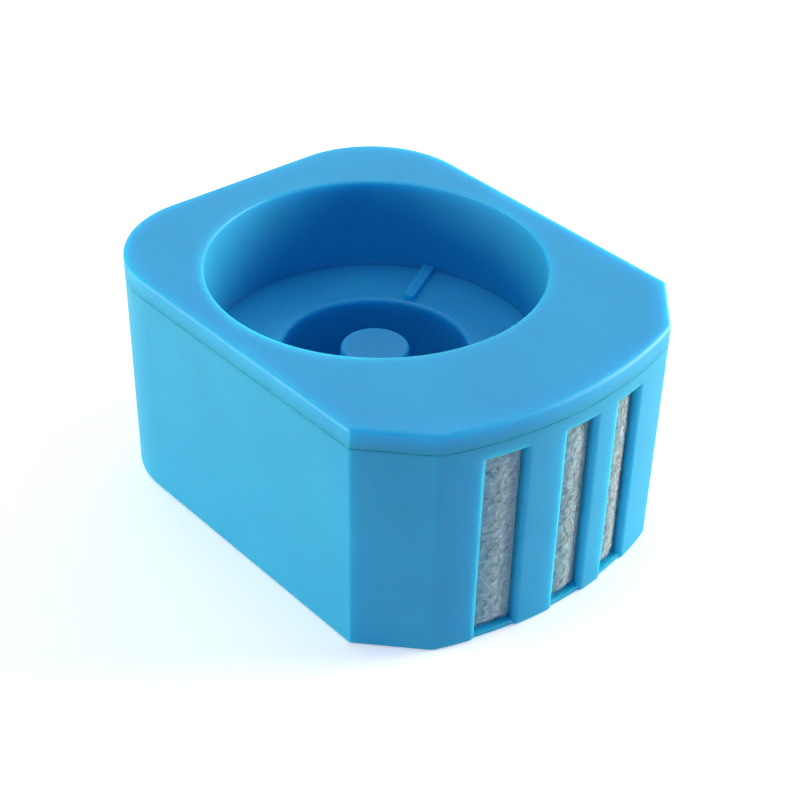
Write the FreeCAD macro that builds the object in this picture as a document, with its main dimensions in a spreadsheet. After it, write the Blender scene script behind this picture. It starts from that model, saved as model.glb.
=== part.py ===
import FreeCAD, Part
import math
import os
import re
import Sketcher

# Drop-in water filter cartridge with a seat for a tank's outlet valve.
#
# A tapered tub with a bowed, slotted front carries a push-fit cover.  The cover has a deep round
# seat with a ledge, and inside the ledge a well whose centre pin opens the tank's valve.  Water
# runs through the holes in the well's floor, the inlet felt and a bed of resin beads, and leaves
# through the outlet felt behind the three slots.
#
# Frame: millimetres, +Z up, the origin on the seat's axis at the level of the base.  The slotted
# front faces -Y and the straight back faces +Y.

SIZES = {
    # Plan of the cover's top face, measured from the seat's axis
    "width": 60.0,
    "side_rim": 4.5,            # top face left between the seat and each side
    "back_rim": 8.1,            # the same between the seat and the back
    "front_rim": 17.9,          # the same between the seat and the middle of the front
    "corner_radius": 16.5,      # the two back corners
    "nose_drop": 4.12,          # how far the bowed front's ends lie behind its middle
    "chamfer_across": 8.3,      # each front chamfer, along X
    "chamfer_along": 8.85,      # and along Y
    # Heights and moulded walls
    "height": 37.5,
    "cover_edge": 3.3,          # height of the cover's edge band above the parting line
    "draft": 0.9,               # taper of the outer walls, in degrees
    "wall": 1.5,
    "floor": 1.0,
    "top_plate": 1.6,
    # Rounded edges
    "chamfer_round": 0.5,       # side to chamfer
    "nose_round": 2.5,          # chamfer to bowed front
    "top_round": 0.7,
    "base_round": 0.4,
    "seat_foot": 1.0,           # height over which the seat's wall leans in to meet its ledge
    "seat_foot_in": 0.15,
    "parting_groove": 0.2,      # step round the cover's lower edge, which shows the parting line
    "rim_round": 0.35,          # mouth of the seat
    "well_round": 0.6,          # mouth of the well
    "pin_round": 0.5,
    "slot_round": 0.8,          # outer upright edges of the slots
    # Seat, well and pin
    "seat_depth": 15.2,
    "ledge_width": 11.1,
    "pin_radius": 5.25,
    "pin_rise": 0.6,            # the pin's top above the ledge
    "rest_height": 0.9,         # radial rest ribs on the ledge
    "rest_width": 1.7,
    "rest_setback": 0.9,        # from the well's mouth to the ribs' inner ends
    "rest_count": 3,
    "inlet_hole_radius": 1.6,
    "inlet_hole_count": 8,
    "cup_clear": 5.1,           # room for the beads under the cup
    # Slots, as shares of the bowed front's half width, left to right
    "left_slot_from": -0.685,
    "left_slot_to": -0.405,
    "mid_slot_from": -0.083,
    "mid_slot_to": 0.166,
    "right_slot_from": 0.392,
    "right_slot_to": 0.622,
    "lintel_drop": 5.5,         # from the top face to the head of the slots
    "sill_setback": 0.35,       # the floor's edge behind the bowed front, in the slots
    # Outlet felt, its frame and its rails
    "felt_thick": 2.8,
    "frame_thick": 1.5,
    "frame_bar": 1.6,           # bars between the frame's windows
    "rail_thick": 1.2,
    "rail_inset": 3.1,          # from the bowed front's end to the rail's outer face
    "lip_reach": 2.4,           # how far each rail's lip laps over the frame
    "felt_head": 4.3,           # from the top face to the felt's top edge
    # Inlet felt and grid
    "pad_thick": 2.0,
    "grid_thick": 1.2,
    "grid_rim": 1.6,
    "grid_hub": 3.2,
    "grid_spoke": 1.4,
    "grid_spokes": 6,
    # Push fit, clearances and the bed
    "skirt_depth": 2.5,
    "skirt_thick": 1.0,
    "skirt_gap": 0.2,
    "skirt_front": 30.5,        # the skirt ends here, in front of the seat's axis
    "fit_gap": 0.1,
    "bed_gap": 0.3,
    "bed_headroom": 1.3,        # from the bed's top to the ledge's underside
}

os.makedirs("parts", exist_ok=True)
doc = FreeCAD.newDocument("filter_cartridge")
V = FreeCAD.Vector

sizes = doc.addObject("Spreadsheet::Sheet", "sizes")
for row, (alias, value) in enumerate(SIZES.items(), start=1):
    sizes.set("A%d" % row, alias)
    sizes.set("B%d" % row, str(value))
    sizes.setAlias("B%d" % row, alias)
doc.recompute()

derived = doc.addObject("App::VarSet", "derived")
DERIVED = []


def ex(formula):
    """Formula in size names -> FreeCAD expression that names the sheet or the derived set."""
    def owner(match):
        word = match.group(0)
        if word in SIZES:
            return "sizes." + word
        if word in DERIVED:
            return "derived." + word
        return word
    return re.sub(r"[a-z_]+", owner, formula)


def derive(name, formula):
    """Add one derived size, worked out from the sheet by its formula."""
    derived.addProperty("App::PropertyFloat", name)
    derived.setExpression(name, ex(formula))
    DERIVED.append(name)


def size(name):
    """Present value of a size in the sheet or the derived set; a leading minus negates it."""
    if name.startswith("-"):
        return -size(name[1:])
    if name in SIZES:
        return float(sizes.get(name))
    return float(getattr(derived, name))


# Plan
derive("half_width", "width / 2")
derive("seat_radius", "half_width - side_rim")
derive("back_reach", "seat_radius + back_rim")
derive("front_reach", "seat_radius + front_rim")
derive("nose_half", "half_width - chamfer_across")
derive("nose_radius", "(nose_half ^ 2 + nose_drop ^ 2) / (2 * nose_drop)")
derive("nose_centre", "nose_radius - front_reach")
derive("side_front", "front_reach - nose_drop - chamfer_along")
derive("chamfer_angle", "atan2(chamfer_along; chamfer_across) / 1 deg")
derive("side_shift", "tan((90 - chamfer_angle) / 2 * 1 deg)")

# Levels
derive("slope", "tan(draft * 1 deg)")
derive("base_level", "0")
derive("parting", "height - cover_edge")
derive("skirt_level", "parting - skirt_depth")
derive("plate_under", "height - top_plate")
derive("ledge", "height - seat_depth")
derive("foot_level", "ledge + seat_foot")
derive("ledge_under", "ledge - wall")
derive("collar_foot", "floor + cup_clear")
derive("pad_foot", "collar_foot + grid_thick")
derive("cup_under", "pad_foot + pad_thick")
derive("cup_floor", "cup_under + wall")
derive("pin_top", "ledge + pin_rise")
derive("pin_roof", "pin_top - wall")
derive("slot_head", "height - lintel_drop")
derive("felt_top", "height - felt_head")
derive("stop_level", "felt_top + fit_gap")
derive("bed_top", "ledge_under - bed_headroom")
derive("crater_level", "collar_foot - bed_gap")

# Insets of the plan at each level, from the top face's plan
derive("base_inset", "height * slope")
derive("band_inset", "cover_edge * slope")
derive("groove_out", "-wall")
derive("groove_in", "band_inset + parting_groove")
derive("cavity_inset", "band_inset + wall")
derive("skirt_outer", "cavity_inset + skirt_gap")
derive("skirt_inner", "skirt_outer + skirt_thick")
derive("bed_inset", "(height - floor) * slope + wall + bed_gap")

# Radii about the seat's axis
derive("seat_outer", "seat_radius + wall")
derive("foot_radius", "seat_radius - seat_foot_in")
derive("well_radius", "seat_radius - ledge_width")
derive("well_outer", "well_radius + wall")
derive("pin_core", "pin_radius - wall")
derive("inlet_circle", "(pin_radius + well_radius) / 2")
derive("pad_radius", "well_radius - fit_gap")
derive("grid_window", "pad_radius - grid_rim")
derive("rest_inner", "well_radius + rest_setback")
derive("rest_outer", "seat_radius + wall / 2")
derive("rest_half", "rest_width / 2")
derive("crater_radius", "well_outer + bed_gap")

# Bands behind the bowed front, as radii about the front's own centre, at floor and felt top
derive("felt_out_low", "nose_radius - (height - floor) * slope - wall - fit_gap")
derive("felt_in_low", "felt_out_low - felt_thick")
derive("frame_out_low", "felt_in_low - fit_gap")
derive("frame_in_low", "frame_out_low - frame_thick")
derive("rise_out", "(felt_top - floor) * slope")
derive("felt_out_high", "felt_out_low + rise_out")
derive("felt_in_high", "felt_in_low + rise_out")
derive("frame_out_high", "frame_out_low + rise_out")
derive("frame_in_high", "frame_in_low + rise_out")
derive("stop_outer", "felt_out_high - felt_thick / 4")
derive("stop_inner", "felt_in_high + felt_thick / 4")

# Rails that hold the felt and its frame
derive("rail_out", "nose_half - rail_inset")
derive("rail_in", "rail_out - rail_thick")
derive("lip_tip", "rail_in - lip_reach")
derive("frame_half", "rail_in - fit_gap")
derive("rail_root", "nose_centre - sqrt((nose_radius - height * slope - wall / 2) ^ 2 - rail_out ^ 2)")
derive("lip_face", "nose_centre - sqrt(frame_in_low ^ 2 - frame_half ^ 2) + fit_gap")
derive("lip_back", "lip_face + rail_thick")
derive("rail_height", "felt_top - floor")

# Slots
for side in ("left", "mid", "right"):
    derive(side + "_from", side + "_slot_from * nose_half")
    derive(side + "_to", side + "_slot_to * nose_half")
    derive(side + "_sill_from", side + "_from - slot_round")
    derive(side + "_sill_to", side + "_to + slot_round")
derive("past_front", "front_reach + wall")
derive("slot_back", "front_reach - nose_drop - wall - wall")
derive("sill_radius", "nose_radius - base_inset - sill_setback")

# Bed
derive("bed_nose", "frame_in_low - bed_gap")
derive("bed_half", "lip_tip - bed_gap")
derive("bed_front", "-lip_back - bed_gap")
doc.recompute()


# ---------------------------------------------------------------- sketch helpers

def new_body(name):
    body = doc.addObject("PartDesign::Body", name)
    body.Label = name
    return body


def new_sketch(body, name, level="base_level", plane="XY_Plane"):
    """Sketch on one of the body's own planes, raised to a named level."""
    sketch = body.newObject("Sketcher::SketchObject", name)
    support = [item for item in body.Origin.OriginFeatures if item.Role == plane][0]
    sketch.AttachmentSupport = [(support, "")]
    sketch.MapMode = "FlatFace"
    sketch.setExpression("AttachmentOffset.Base.z", ex(level))
    return sketch


def dimension(sketch, kind, refs, value, formula):
    """Add one dimension to a sketch and bind it to its formula."""
    index = sketch.addConstraint(Sketcher.Constraint(kind, *refs, value))
    sketch.setExpression("Constraints[%d]" % index, ex(formula))


def place(sketch, edge, point, x, y):
    """Fix one end of an edge at named coordinates."""
    dimension(sketch, "DistanceX", (-1, 1, edge, point), size(x), x)
    dimension(sketch, "DistanceY", (-1, 1, edge, point), size(y), y)


def polygon(sketch, corners):
    """Closed outline of straight edges through corners given as named coordinates."""
    points = [V(size(x), size(y), 0) for x, y in corners]
    first = sketch.GeometryCount
    count = len(points)
    for i in range(count):
        sketch.addGeometry(Part.LineSegment(points[i], points[(i + 1) % count]), False)
    for i in range(count):
        following = first + (i + 1) % count
        sketch.addConstraint(Sketcher.Constraint("Coincident", first + i, 2, following, 1))
    for i, (x, y) in enumerate(corners):
        place(sketch, first + i, 1, x, y)


def circle(sketch, radius, x="base_level", y="base_level"):
    """Circle of a named radius about named coordinates."""
    shape = Part.Circle(V(size(x), size(y), 0), V(0, 0, 1), size(radius))
    edge = sketch.addGeometry(shape, False)
    place(sketch, edge, 3, x, y)
    dimension(sketch, "Radius", (edge,), size(radius), radius)


def tub_outline(sketch, inset):
    """Plan of the cartridge, a named inset inside the top face's plan.

    Straight back and sides joined by round corners, two chamfers and a bowed front.
    """
    d = size(inset)
    half = size("half_width") - d
    back = size("back_reach") - d
    corner = size("corner_radius") - d
    radius = size("nose_radius") - d
    centre = size("nose_centre")
    side_end = d * size("side_shift") - size("side_front")
    angle = math.radians(size("chamfer_angle"))
    # Where the chamfer's line meets the bowed front: a step back along the line from the side's end
    run = V(-math.cos(angle), -math.sin(angle), 0)
    start = V(half, side_end - centre, 0)
    along = start.dot(run)
    step = -along - math.sqrt(along ** 2 - start.dot(start) + radius ** 2)
    if step <= 0:
        step = -along + math.sqrt(along ** 2 - start.dot(start) + radius ** 2)
    nose_x = half + run.x * step
    nose_y = side_end + run.y * step
    sweep = math.atan2(nose_y - centre, nose_x)

    up = V(0, 0, 1)
    right_corner = Part.Circle(V(half - corner, back - corner, 0), up, corner)
    left_corner = Part.Circle(V(corner - half, back - corner, 0), up, corner)
    front = Part.Circle(V(0, centre, 0), up, radius)
    edges = [
        Part.ArcOfCircle(right_corner, 0, math.pi / 2),
        Part.LineSegment(V(half - corner, back, 0), V(corner - half, back, 0)),
        Part.ArcOfCircle(left_corner, math.pi / 2, math.pi),
        Part.LineSegment(V(-half, back - corner, 0), V(-half, side_end, 0)),
        Part.LineSegment(V(-half, side_end, 0), V(-nose_x, nose_y, 0)),
        Part.ArcOfCircle(front, -math.pi - sweep, sweep),
        Part.LineSegment(V(nose_x, nose_y, 0), V(half, side_end, 0)),
        Part.LineSegment(V(half, side_end, 0), V(half, back - corner, 0)),
    ]
    first = sketch.GeometryCount
    for edge in edges:
        sketch.addGeometry(edge, False)
    c0, b1, c2, l3, h4, n5, h6, r7 = range(first, first + 8)
    for one, other in ((c0, b1), (b1, c2), (c2, l3), (r7, c0)):
        sketch.addConstraint(Sketcher.Constraint("Tangent", one, 2, other, 1))
    for one, other in ((l3, h4), (h4, n5), (n5, h6), (h6, r7)):
        sketch.addConstraint(Sketcher.Constraint("Coincident", one, 2, other, 1))
    sketch.addConstraint(Sketcher.Constraint("Horizontal", b1))
    sketch.addConstraint(Sketcher.Constraint("Vertical", l3))
    sketch.addConstraint(Sketcher.Constraint("Vertical", r7))
    sketch.addConstraint(Sketcher.Constraint("Equal", c0, c2))
    sketch.addConstraint(Sketcher.Constraint("Equal", h4, h6))
    sketch.addConstraint(Sketcher.Constraint("Symmetric", l3, 2, r7, 1, -2))
    sketch.addConstraint(Sketcher.Constraint("PointOnObject", n5, 3, -2))
    dimension(sketch, "DistanceX", (-1, 1, r7, 1), half, "half_width - " + inset)
    dimension(sketch, "DistanceY", (-1, 1, b1, 1), back, "back_reach - " + inset)
    dimension(sketch, "DistanceY", (r7, 1, -1, 1), -side_end, "side_front - side_shift * " + inset)
    dimension(sketch, "DistanceY", (-1, 1, n5, 3), centre, "nose_centre")
    dimension(sketch, "Radius", (c0,), corner, "corner_radius - " + inset)
    dimension(sketch, "Radius", (n5,), radius, "nose_radius - " + inset)
    dimension(sketch, "Angle", (h6,), angle, "chamfer_angle")


def front_band(sketch, outer, inner, half):
    """Curved strip along the bowed front, between two named radii, ending square at each side."""
    centre = size("nose_centre")
    span = size(half)
    ends = []
    for name in (outer, inner):
        radius = size(name)
        low = centre - math.sqrt(radius ** 2 - span ** 2)
        sweep = math.atan2(low - centre, span)
        arc = Part.ArcOfCircle(Part.Circle(V(0, centre, 0), V(0, 0, 1), radius), -math.pi - sweep, sweep)
        edge = sketch.addGeometry(arc, False)
        ends.append((edge, low))
    (out_arc, out_y), (in_arc, in_y) = ends
    right = sketch.addGeometry(Part.LineSegment(V(span, out_y, 0), V(span, in_y, 0)), False)
    left = sketch.addGeometry(Part.LineSegment(V(-span, in_y, 0), V(-span, out_y, 0)), False)
    for one, p, other, q in ((out_arc, 2, right, 1), (right, 2, in_arc, 2),
                             (in_arc, 1, left, 1), (left, 2, out_arc, 1)):
        sketch.addConstraint(Sketcher.Constraint("Coincident", one, p, other, q))
    sketch.addConstraint(Sketcher.Constraint("Vertical", right))
    sketch.addConstraint(Sketcher.Constraint("Vertical", left))
    sketch.addConstraint(Sketcher.Constraint("PointOnObject", out_arc, 3, -2))
    sketch.addConstraint(Sketcher.Constraint("Coincident", out_arc, 3, in_arc, 3))
    dimension(sketch, "DistanceY", (-1, 1, out_arc, 3), centre, "nose_centre")
    dimension(sketch, "Radius", (out_arc,), size(outer), outer)
    dimension(sketch, "Radius", (in_arc,), size(inner), inner)
    dimension(sketch, "DistanceX", (-1, 1, right, 1), span, half)
    dimension(sketch, "DistanceX", (left, 1, -1, 1), span, half)


# ---------------------------------------------------------------- feature helpers

def feature(body, kind, name, sketch, length=None, up=True, taper=None):
    """Pad or Pocket of a sketch by a formula's length, upwards or downwards."""
    item = body.newObject("PartDesign::" + kind, name)
    item.Profile = (sketch, [""])
    sketch.Visibility = False
    item.setExpression("Length", ex(length))
    item.Reversed = (not up) if kind == "Pad" else up
    if taper:
        item.setExpression("TaperAngle", ex(taper))
    doc.recompute()
    body.Tip = item
    return item


def round_edges(body, name, base, radius, wanted):
    """Round the edges of a feature that the test accepts."""
    picked = ["Edge%d" % n for n, edge in enumerate(base.Shape.Edges, start=1) if wanted(edge)]
    item = body.newObject("PartDesign::Fillet", name)
    item.Base = (base, picked)
    item.setExpression("Radius", ex(radius))
    doc.recompute()
    body.Tip = item
    return item


def repeat(body, name, original, count):
    """Repeat a feature about the seat's axis."""
    pattern = body.newObject("PartDesign::PolarPattern", name)
    pattern.Originals = [original]
    axis = [item for item in body.Origin.OriginFeatures if item.Role == "Z_Axis"][0]
    pattern.Axis = (axis, [""])
    pattern.Angle = 360
    pattern.setExpression("Occurrences", ex(count))
    doc.recompute()
    body.Tip = pattern
    return pattern


def near(value, target, slack=0.05):
    return abs(value - target) < slack


def upright_at(edge, x_abs, y, slack=1.0):
    """True for a near-vertical edge whose middle is near the given plan position."""
    low, high = sorted(vertex.Z for vertex in edge.Vertexes) if len(edge.Vertexes) == 2 else (0, 0)
    if high - low < 1.0:
        return False
    middle = edge.valueAt((edge.FirstParameter + edge.LastParameter) / 2)
    return near(abs(middle.x), x_abs, slack) and near(middle.y, y, slack)


def round_uprights(body, stem, base):
    """Round the four upright edges of the chamfers, crisply at the sides, softly at the front."""
    sharp = round_edges(
        body, stem + "_chamfer_round", base, "chamfer_round",
        lambda edge: upright_at(edge, size("half_width"), -size("side_front")))
    return round_edges(
        body, stem + "_nose_round", sharp, "nose_round",
        lambda edge: upright_at(edge, size("nose_half"), size("nose_drop") - size("front_reach")))


def level_edge(edge, z):
    """True for an edge that lies flat at height z."""
    box = edge.BoundBox
    return near(box.ZMin, z, 0.01) and near(box.ZMax, z, 0.01)


def ring_edge(edge, radius, z):
    """True for a circle of this radius about the seat's axis at height z."""
    if edge.Degenerated:
        return False
    return level_edge(edge, z) and hasattr(edge.Curve, "Radius") and near(edge.Curve.Radius, radius)


# ---------------------------------------------------------------- body shell

def make_body_shell():
    body = new_body("body_shell")

    plan = new_sketch(body, "shell_plan")
    tub_outline(plan, "base_inset")
    block = feature(body, "Pad", "shell_block", plan, "parting", taper="draft")
    round_uprights(body, "shell", block)

    hollow = new_sketch(body, "cavity_plan", "parting")
    tub_outline(hollow, "cavity_inset")
    feature(body, "Pocket", "cavity", hollow, "parting - floor", up=False, taper="-draft")

    # Two L-shaped rails: a web out from the front wall and a lip that laps over the frame
    rails = new_sketch(body, "rail_plan", "floor")
    for sign in ("", "-"):
        polygon(rails, [
            (sign + "rail_out", "rail_root"),
            (sign + "rail_out", "lip_back"),
            (sign + "lip_tip", "lip_back"),
            (sign + "lip_tip", "lip_face"),
            (sign + "rail_in", "lip_face"),
            (sign + "rail_in", "rail_root"),
        ])
    feature(body, "Pad", "rails", rails, "rail_height")

    # Slots run down to the base between the ribs; the floor's edge is put back afterwards
    windows = new_sketch(body, "slot_plan")
    for side in ("left", "mid", "right"):
        polygon(windows, [
            (side + "_from", "-past_front"),
            (side + "_to", "-past_front"),
            (side + "_to", "-slot_back"),
            (side + "_from", "-slot_back"),
        ])
    cut = feature(body, "Pocket", "slots", windows, "slot_head", up=True)

    def slot_corner(edge):
        for side in ("left", "mid", "right"):
            for end in ("_from", "_to"):
                x = size(side + end)
                y = size("nose_centre") - math.sqrt(size("nose_radius") ** 2 - x ** 2)
                middle = edge.BoundBox.Center
                if upright_at(edge, abs(x), y, 0.7) and near(middle.x, x, 0.1):
                    return True
        return False

    round_edges(body, "slot_corner_round", cut, "slot_round", slot_corner)

    # Sills: the floor's edge in each slot, a little behind the bowed front
    sills = new_sketch(body, "sill_plan")
    for side in ("left", "mid", "right"):
        sill_profile(sills, side + "_sill_from", side + "_sill_to")
    whole = feature(body, "Pad", "sills", sills, "floor")
    round_edges(body, "base_rounding", whole, "base_round", lambda edge: level_edge(edge, 0))
    return body


def sill_profile(sketch, left, right):
    """Strip of floor between two named sides, with its front edge on the set-back arc."""
    centre = size("nose_centre")
    radius = size("sill_radius")
    x0, x1 = size(left), size(right)
    y0 = centre - math.sqrt(radius ** 2 - x0 ** 2)
    y1 = centre - math.sqrt(radius ** 2 - x1 ** 2)
    inner = -size("slot_back")
    arc = Part.ArcOfCircle(Part.Circle(V(0, centre, 0), V(0, 0, 1), radius),
                           math.atan2(y0 - centre, x0), math.atan2(y1 - centre, x1))
    bow = sketch.addGeometry(arc, False)
    rise = sketch.addGeometry(Part.LineSegment(V(x1, y1, 0), V(x1, inner, 0)), False)
    rear = sketch.addGeometry(Part.LineSegment(V(x1, inner, 0), V(x0, inner, 0)), False)
    fall = sketch.addGeometry(Part.LineSegment(V(x0, inner, 0), V(x0, y0, 0)), False)
    for one, other in ((bow, rise), (rise, rear), (rear, fall), (fall, bow)):
        sketch.addConstraint(Sketcher.Constraint("Coincident", one, 2, other, 1))
    sketch.addConstraint(Sketcher.Constraint("Vertical", rise))
    sketch.addConstraint(Sketcher.Constraint("Vertical", fall))
    sketch.addConstraint(Sketcher.Constraint("PointOnObject", bow, 3, -2))
    dimension(sketch, "DistanceY", (-1, 1, bow, 3), centre, "nose_centre")
    dimension(sketch, "Radius", (bow,), radius, "sill_radius")
    place(sketch, rear, 1, right, "-slot_back")
    place(sketch, rear, 2, left, "-slot_back")


# ---------------------------------------------------------------- top cover

def make_top_cover():
    body = new_body("top_cover")

    plan = new_sketch(body, "cover_plan", "parting")
    tub_outline(plan, "band_inset")
    block = feature(body, "Pad", "cover_block", plan, "cover_edge", taper="draft")
    block = round_uprights(body, "cover", block)
    round_edges(body, "cover_top_round", block, "top_round",
                lambda edge: level_edge(edge, size("height")))
    groove = new_sketch(body, "groove_plan", "parting")
    tub_outline(groove, "groove_out")
    tub_outline(groove, "groove_in")
    feature(body, "Pocket", "parting_step", groove, "parting_groove", up=True)

    hollow = new_sketch(body, "under_plan", "parting")
    tub_outline(hollow, "skirt_inner")
    feature(body, "Pocket", "under_hollow", hollow, "plate_under - parting", up=True)

    # Push-fit skirt inside the tub's back, sides and the start of its chamfers
    skirt = new_sketch(body, "skirt_plan", "skirt_level")
    tub_outline(skirt, "skirt_outer")
    tub_outline(skirt, "skirt_inner")
    feature(body, "Pad", "skirt", skirt, "skirt_depth")
    clear = new_sketch(body, "skirt_end", "parting")
    polygon(clear, [
        ("-half_width", "-past_front"),
        ("half_width", "-past_front"),
        ("half_width", "-skirt_front"),
        ("-half_width", "-skirt_front"),
    ])
    feature(body, "Pocket", "skirt_trim", clear, "skirt_depth", up=False)

    # Bar that closes the gap over the outlet felt
    stop = new_sketch(body, "stop_plan", "stop_level")
    front_band(stop, "stop_outer", "stop_inner", "lip_tip")
    feature(body, "Pad", "felt_stop", stop, "height - top_plate / 2 - stop_level")

    mouth = new_sketch(body, "mouth_plan", "height")
    circle(mouth, "seat_radius")
    feature(body, "Pocket", "mouth", mouth, "top_plate", up=False)

    # Half section of seat wall, ledge, well, hollow pin and the collar under the well
    section = new_sketch(body, "seat_section", plane="XZ_Plane")
    polygon(section, [
        ("seat_radius", "height"),
        ("seat_radius", "foot_level"),
        ("foot_radius", "ledge"),
        ("well_radius", "ledge"),
        ("well_radius", "cup_floor"),
        ("pin_radius", "cup_floor"),
        ("pin_radius", "pin_top"),
        ("base_level", "pin_top"),
        ("base_level", "pin_roof"),
        ("pin_core", "pin_roof"),
        ("pin_core", "cup_under"),
        ("well_radius", "cup_under"),
        ("well_radius", "collar_foot"),
        ("well_outer", "collar_foot"),
        ("well_outer", "ledge_under"),
        ("seat_outer", "ledge_under"),
        ("seat_outer", "plate_under"),
        ("rest_outer", "plate_under"),
        ("rest_outer", "height"),
    ])
    seat = body.newObject("PartDesign::Revolution", "seat")
    seat.Profile = (section, [""])
    seat.ReferenceAxis = (section, ["V_Axis"])
    seat.Angle = 360
    section.Visibility = False
    doc.recompute()
    body.Tip = seat

    rest = new_sketch(body, "rest_plan", "ledge")
    polygon(rest, [
        ("-rest_half", "-rest_outer"),
        ("rest_half", "-rest_outer"),
        ("rest_half", "-rest_inner"),
        ("-rest_half", "-rest_inner"),
    ])
    rib = feature(body, "Pad", "rest_rib", rest, "rest_height")
    repeat(body, "rest_ribs", rib, "rest_count")

    hole = new_sketch(body, "inlet_plan", "cup_floor")
    circle(hole, "inlet_hole_radius", y="inlet_circle")
    drilled = feature(body, "Pocket", "inlet_hole", hole, "wall", up=False)
    whole = repeat(body, "inlet_holes", drilled, "inlet_hole_count")

    whole = round_edges(body, "rim_rounding", whole, "rim_round",
                        lambda edge: ring_edge(edge, size("seat_radius"), size("height")))
    whole = round_edges(body, "well_rounding", whole, "well_round",
                        lambda edge: ring_edge(edge, size("well_radius"), size("ledge")))
    round_edges(body, "pin_rounding", whole, "pin_round",
                lambda edge: ring_edge(edge, size("pin_radius"), size("pin_top")))
    return body


# ---------------------------------------------------------------- outlet felt and its frame

def make_band(name, outer, inner):
    """Strip that follows the bowed, tapered front from the floor up to the felt's top."""
    body = new_body(name)
    low = new_sketch(body, name + "_foot", "floor")
    front_band(low, outer + "_low", inner + "_low", "frame_half")
    high = new_sketch(body, name + "_head", "felt_top")
    front_band(high, outer + "_high", inner + "_high", "frame_half")
    doc.recompute()
    loft = body.newObject("PartDesign::AdditiveLoft", name + "_strip")
    loft.Profile = (low, [""])
    loft.Sections = [(high, [""])]
    loft.Ruled = True
    low.Visibility = False
    high.Visibility = False
    doc.recompute()
    body.Tip = loft
    return body


def make_felt_frame():
    """Grille of three columns and three rows of windows that backs the felt."""
    body = make_band("felt_frame", "frame_out", "frame_in")
    columns, rows = 3, 3
    half, bar = size("frame_half"), size("frame_bar")
    tall = size("felt_top") - size("floor")
    wide = (2 * half - (columns + 1) * bar) / columns
    high = (tall - (rows + 1) * bar) / rows
    sketch = new_sketch(body, "window_plan", plane="XZ_Plane")
    for column in range(columns):
        for row in range(rows):
            window(sketch, column, row, columns, rows, wide, high)
    cut = body.newObject("PartDesign::Pocket", "windows")
    cut.Profile = (sketch, [""])
    cut.Type = 0
    cut.setExpression("Length", ex("past_front"))
    cut.Reversed = True
    sketch.Visibility = False
    doc.recompute()
    body.Tip = cut
    return body


def window(sketch, column, row, columns, rows, wide, high):
    """One rectangle of the grille, its sides tied to the frame's size and the bars."""
    bar = size("frame_bar")
    x0 = -size("frame_half") + bar + column * (wide + bar)
    z0 = size("floor") + bar + row * (high + bar)
    points = [V(x0, z0, 0), V(x0 + wide, z0, 0), V(x0 + wide, z0 + high, 0), V(x0, z0 + high, 0)]
    first = sketch.GeometryCount
    for i in range(4):
        sketch.addGeometry(Part.LineSegment(points[i], points[(i + 1) % 4]), False)
    for i in range(4):
        sketch.addConstraint(Sketcher.Constraint("Coincident", first + i, 2, first + (i + 1) % 4, 1))
    for i, kind in enumerate(("Horizontal", "Vertical", "Horizontal", "Vertical")):
        sketch.addConstraint(Sketcher.Constraint(kind, first + i))
    pitch_x = "(2 * frame_half - frame_bar) / %d" % columns
    pitch_z = "(rail_height - frame_bar) / %d" % rows
    dimension(sketch, "DistanceX", (-1, 1, first, 1), x0, "frame_bar - frame_half + %d * %s" % (column, pitch_x))
    dimension(sketch, "DistanceY", (-1, 1, first, 1), z0, "floor + frame_bar + %d * %s" % (row, pitch_z))
    dimension(sketch, "DistanceX", (first, 1, first, 2), wide, pitch_x + " - frame_bar")
    dimension(sketch, "DistanceY", (first + 1, 1, first + 1, 2), high, pitch_z + " - frame_bar")


# ---------------------------------------------------------------- inlet felt and grid

def make_inlet_felt():
    body = new_body("inlet_felt")
    plan = new_sketch(body, "pad_plan", "pad_foot")
    circle(plan, "pad_radius")
    feature(body, "Pad", "pad", plan, "pad_thick")
    return body


def make_inlet_grid():
    """Spoked disc pressed into the collar under the inlet felt."""
    body = new_body("inlet_grid")
    plan = new_sketch(body, "grid_plan", "collar_foot")
    circle(plan, "pad_radius")
    feature(body, "Pad", "grid_disc", plan, "grid_thick")

    opening = new_sketch(body, "grid_window_plan", "collar_foot")
    grid_sector(opening)
    cut = feature(body, "Pocket", "grid_opening", opening, "grid_thick", up=True)
    repeat(body, "grid_openings", cut, "grid_spokes")
    return body


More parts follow.
